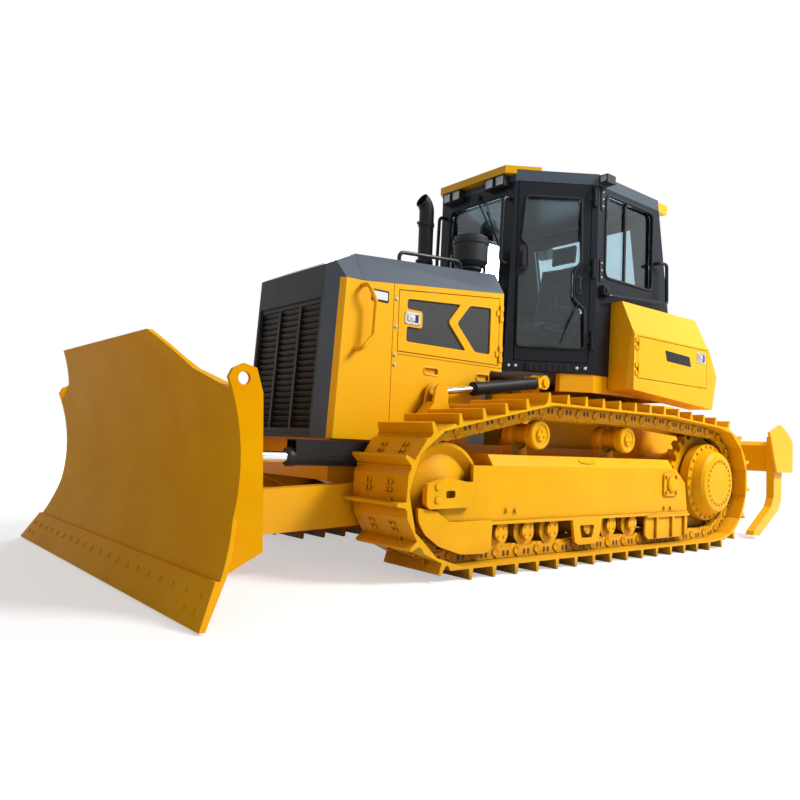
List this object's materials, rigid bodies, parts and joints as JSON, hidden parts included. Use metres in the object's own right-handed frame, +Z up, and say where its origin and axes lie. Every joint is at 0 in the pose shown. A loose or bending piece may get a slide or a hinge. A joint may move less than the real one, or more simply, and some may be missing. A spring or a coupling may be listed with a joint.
{
  "type": "crawler bulldozer",
  "caption": "Crawler bulldozer with an angling, tilting blade on a C-frame, a louvred hood, an enclosed cab with doors, fender boxes and a rear ripper.",
  "frame": {"origin": "on the ground below the middle of the machine", "axes": "+X forward towards the blade, +Y to the operator's left, +Z up"},
  "size_m": [6.662, 3.07, 3.038],
  "materials": {
    "yellow_paint": "gloss",
    "slate_paint": "satin",
    "black_paint": "satin",
    "dark_casting": "matt",
    "rod_chrome": "polished",
    "clear_glass": "tinted",
    "trim_plastic": "matt",
    "seat_fabric": "woven"
  },
  "bodies": {
    "tractor": {"main_frame": "yellow_paint", "engine": "dark_casting", "nose": "slate_paint", "grille": "black_paint", "hood": "slate_paint", "side_panels": "yellow_paint", "handrails": "black_paint", "exhaust": "black_paint", "precleaner": "trim_plastic", "cab_base": "black_paint", "cab_front": "black_paint", "cab_sides": "black_paint", "cab_rear": "black_paint", "cab_roof": "slate_paint", "cab_glass": "clear_glass", "lamps": "trim_plastic", "seat": "seat_fabric", "console": "trim_plastic", "fenders": "yellow_paint", "track_frames": "yellow_paint", "idlers": "yellow_paint", "sprockets": "yellow_paint", "final_drives": "yellow_paint", "carrier_rollers": "yellow_paint", "track_rollers": "yellow_paint", "track_left": "yellow_paint", "track_right": "yellow_paint", "ripper_bracket": "yellow_paint"},
    "c_frame": {"c_frame": "yellow_paint"},
    "blade_yoke": {"blade_yoke": "yellow_paint"},
    "blade": {"blade": "yellow_paint", "cutting_edge": "yellow_paint"},
    "angle_barrel_left": {"angle_barrel_left": "black_paint"},
    "angle_barrel_right": {"angle_barrel_right": "black_paint"},
    "angle_rod_left": {"angle_rod_left": "rod_chrome"},
    "angle_rod_right": {"angle_rod_right": "rod_chrome"},
    "lift_barrels": {"lift_barrels": "black_paint"},
    "lift_rods": {"lift_rods": "rod_chrome"},
    "tilt_barrel": {"tilt_barrel": "black_paint"},
    "tilt_rod": {"tilt_rod": "rod_chrome"},
    "ripper_arms": {"ripper_arms": "yellow_paint"},
    "ripper_links": {"ripper_links": "yellow_paint"},
    "ripper_beam": {"ripper_beam": "yellow_paint", "ripper_shanks": "yellow_paint"},
    "ripper_barrels": {"ripper_barrels": "black_paint"},
    "ripper_rods": {"ripper_rods": "rod_chrome"},
    "cab_door_left": {"cab_door_left": "black_paint", "door_glass_left": "clear_glass"},
    "cab_door_right": {"cab_door_right": "black_paint", "door_glass_right": "clear_glass"},
    "engine_door_left": {"engine_door_left": "yellow_paint"},
    "engine_door_right": {"engine_door_right": "yellow_paint"},
    "fender_door_left": {"fender_door_left": "yellow_paint"},
    "fender_door_right": {"fender_door_right": "yellow_paint"}
  },
  "joints": [
    {"name": "blade_lift", "type": "hinge", "parent": "tractor", "child": "c_frame", "pos_m": [0.45, 0, 0.52], "axis": [0, -1, 0], "range_deg": [-10, 20]},
    {"name": "lift_barrel_swing", "type": "hinge", "parent": "tractor", "child": "lift_barrels", "pos_m": [0.18, 0, 1.305], "axis": [0, -1, 0], "range_deg": [-7.5, 14.5]},
    {"name": "lift_rod_slide", "type": "slide", "parent": "lift_barrels", "child": "lift_rods", "axis": [0.9897, 0, -0.143], "range_m": [-0.28, 0.14]},
    {"name": "blade_angle", "type": "hinge", "parent": "c_frame", "child": "blade_yoke", "pos_m": [2.74, 0, 0.38], "axis": [0, 0, 1], "range_deg": [-25, 25]},
    {"name": "angle_barrel_left_swing", "type": "hinge", "parent": "c_frame", "child": "angle_barrel_left", "pos_m": [1.74, 0.6, 0.685], "axis": [0, 0, 1], "range_deg": [-1, 1]},
    {"name": "angle_barrel_right_swing", "type": "hinge", "parent": "c_frame", "child": "angle_barrel_right", "pos_m": [1.74, -0.6, 0.685], "axis": [0, 0, 1], "range_deg": [-1, 1]},
    {"name": "angle_rod_left_slide", "type": "slide", "parent": "angle_barrel_left", "child": "angle_rod_left", "axis": [1, 0, 0], "range_m": [-0.26, 0.26]},
    {"name": "angle_rod_right_slide", "type": "slide", "parent": "angle_barrel_right", "child": "angle_rod_right", "axis": [1, 0, 0], "range_m": [-0.26, 0.26]},
    {"name": "blade_tilt", "type": "hinge", "parent": "blade_yoke", "child": "blade", "pos_m": [2.96, 0, 0.48], "axis": [1, 0, 0], "range_deg": [-7.5, 7.5]},
    {"name": "tilt_barrel_swing", "type": "hinge", "parent": "blade_yoke", "child": "tilt_barrel", "pos_m": [2.852, 0.42, 0.92], "axis": [1, 0, 0], "range_deg": [-4, 4]},
    {"name": "tilt_rod_slide", "type": "slide", "parent": "tilt_barrel", "child": "tilt_rod", "axis": [0, -1, 0], "range_m": [-0.06, 0.06]},
    {"name": "ripper_lift", "type": "hinge", "parent": "tractor", "child": "ripper_arms", "pos_m": [-2.1, 0, 0.52], "axis": [0, 1, 0], "range_deg": [-30, 22]},
    {"name": "ripper_link_swing", "type": "hinge", "parent": "tractor", "child": "ripper_links", "pos_m": [-2.1, 0, 0.89], "axis": [0, 1, 0], "range_deg": [-30, 22]},
    {"name": "ripper_beam_level", "type": "hinge", "parent": "ripper_arms", "child": "ripper_beam", "pos_m": [-2.96, 0, 0.72], "axis": [0, 1, 0], "range_deg": [-22, 30]},
    {"name": "ripper_barrel_swing", "type": "hinge", "parent": "tractor", "child": "ripper_barrels", "pos_m": [-2.16, 0, 0.48], "axis": [0, 1, 0], "range_deg": [-26, 19]},
    {"name": "ripper_rod_slide", "type": "slide", "parent": "ripper_barrels", "child": "ripper_rods", "axis": [-0.7952, 0, 0.6063], "range_m": [-0.2, 0.15]},
    {"name": "cab_door_left_swing", "type": "hinge", "parent": "tractor", "child": "cab_door_left", "pos_m": [-0.16, 0.822, 2.2], "axis": [0, 0, 1], "range_deg": [0, 110]},
    {"name": "cab_door_right_swing", "type": "hinge", "parent": "tractor", "child": "cab_door_right", "pos_m": [-0.16, -0.822, 2.2], "axis": [0, 0, -1], "range_deg": [0, 110]},
    {"name": "engine_door_left_swing", "type": "hinge", "parent": "tractor", "child": "engine_door_left", "pos_m": [0.58, 0.528, 1.6], "axis": [0, 0, 1], "range_deg": [0, 100]},
    {"name": "engine_door_right_swing", "type": "hinge", "parent": "tractor", "child": "engine_door_right", "pos_m": [0.58, -0.528, 1.6], "axis": [0, 0, -1], "range_deg": [0, 100]},
    {"name": "fender_door_left_swing", "type": "hinge", "parent": "tractor", "child": "fender_door_left", "pos_m": [-0.452, 1.058, 1.5], "axis": [0, 0, -1], "range_deg": [0, 100]},
    {"name": "fender_door_right_swing", "type": "hinge", "parent": "tractor", "child": "fender_door_right", "pos_m": [-0.452, -1.058, 1.5], "axis": [0, 0, 1], "range_deg": [0, 100]}
  ],
  "couplings": [
    {"joint": "lift_barrel_swing", "follows": "blade_lift", "ratio": 0.69},
    {"joint": "lift_rod_slide", "follows": "blade_lift", "m_per_rad": -0.765},
    {"joint": "angle_barrel_left_swing", "follows": "blade_angle", "ratio": 0.02},
    {"joint": "angle_barrel_right_swing", "follows": "blade_angle", "ratio": 0.02},
    {"joint": "angle_rod_left_slide", "follows": "blade_angle", "m_per_rad": -0.581},
    {"joint": "angle_rod_right_slide", "follows": "blade_angle", "m_per_rad": 0.581},
    {"joint": "tilt_barrel_swing", "follows": "blade_tilt", "ratio": 0.417},
    {"joint": "tilt_rod_slide", "follows": "blade_tilt", "m_per_rad": 0.44},
    {"joint": "ripper_link_swing", "follows": "ripper_lift", "ratio": 1},
    {"joint": "ripper_beam_level", "follows": "ripper_lift", "ratio": -1},
    {"joint": "ripper_barrel_swing", "follows": "ripper_lift", "ratio": 0.825},
    {"joint": "ripper_rod_slide", "follows": "ripper_lift", "m_per_rad": 0.362}
  ]
}
